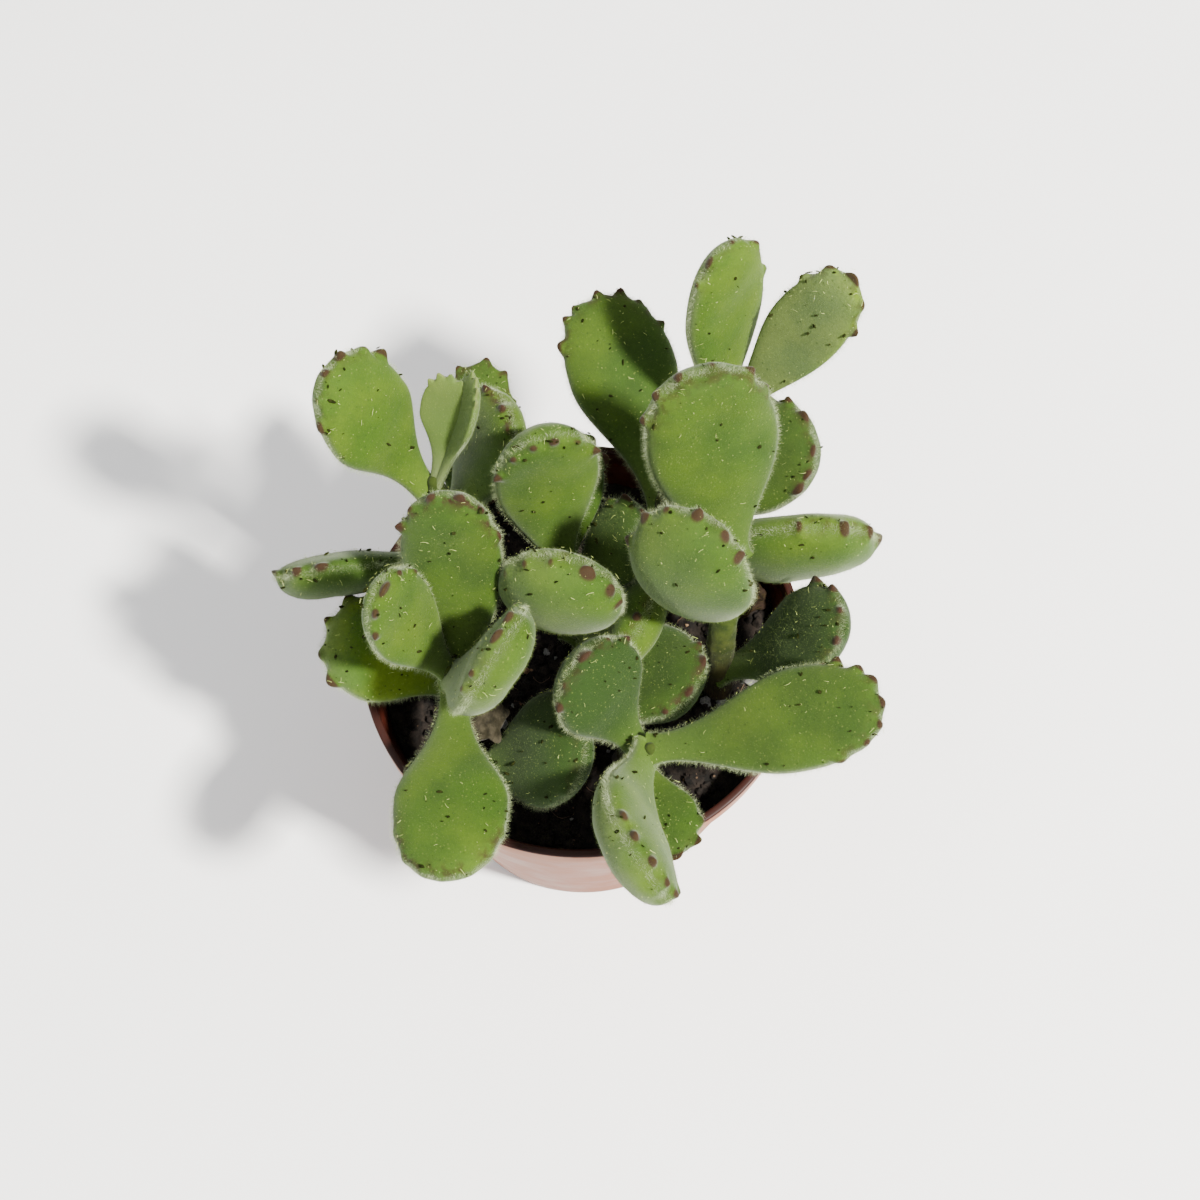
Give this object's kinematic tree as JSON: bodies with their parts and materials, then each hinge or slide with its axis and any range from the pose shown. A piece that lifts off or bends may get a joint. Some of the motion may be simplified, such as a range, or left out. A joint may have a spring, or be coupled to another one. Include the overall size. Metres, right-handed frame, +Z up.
{
  "type": "potted succulent",
  "caption": "Small succulent with thick fuzzy paw-shaped leaves, red-brown teeth round their tips, branched stems and peat mix in a tapered pink plastic pot.",
  "frame": {"origin": "centre of the pot's flat underside", "axes": "+Z up, +X to the right and +Y away from the picture's viewer, across the pot's mouth"},
  "size_m": [0.0952, 0.1047, 0.111],
  "materials": {
    "leaf": "velvety matte, covered in fine white hairs",
    "young_leaf": "velvety matte, paler, covered in fine white hairs",
    "stem": "matte, downy",
    "withered_leaf": "dry, dull and wrinkled",
    "potting_mix": "crumbly black peat with grains of perlite",
    "bark": "rough and dry",
    "pot_plastic": "thin, slightly see-through plastic, dull pink outside and brown inside"
  },
  "bodies": {
    "root": {"stem_right": "stem", "stem_back": "stem", "stem_front": "stem", "stem_middle": "stem", "stem_low": "stem", "stem_leftback": "stem", "stem_leftfront": "stem", "leaf_right_1": "leaf", "leaf_right_2": "leaf", "leaf_right_3": "leaf", "leaf_right_4": "leaf", "leaf_right_5": "leaf", "leaf_back_1": "leaf", "leaf_back_2": "leaf", "leaf_back_3": "leaf", "leaf_front_1": "leaf", "leaf_front_2": "leaf", "leaf_front_3": "leaf", "leaf_front_4": "leaf", "leaf_middle_1": "leaf", "leaf_middle_2": "leaf", "leaf_middle_3": "leaf", "leaf_middle_4": "leaf", "leaf_middle_5": "leaf", "leaf_middle_6": "leaf", "leaf_low_1": "leaf", "leaf_leftback_1": "leaf", "leaf_leftback_2": "leaf", "leaf_leftback_3": "leaf", "leaf_leftback_4": "leaf", "leaf_leftback_5": "young_leaf", "leaf_leftfront_1": "leaf", "leaf_leftfront_2": "leaf", "leaf_leftfront_3": "leaf", "leaf_leftfront_4": "leaf", "leaf_leftfront_5": "leaf", "leaf_withered": "withered_leaf", "soil": "potting_mix", "bark_flake": "bark", "pot": "pot_plastic"}
  },
  "joints": []
}
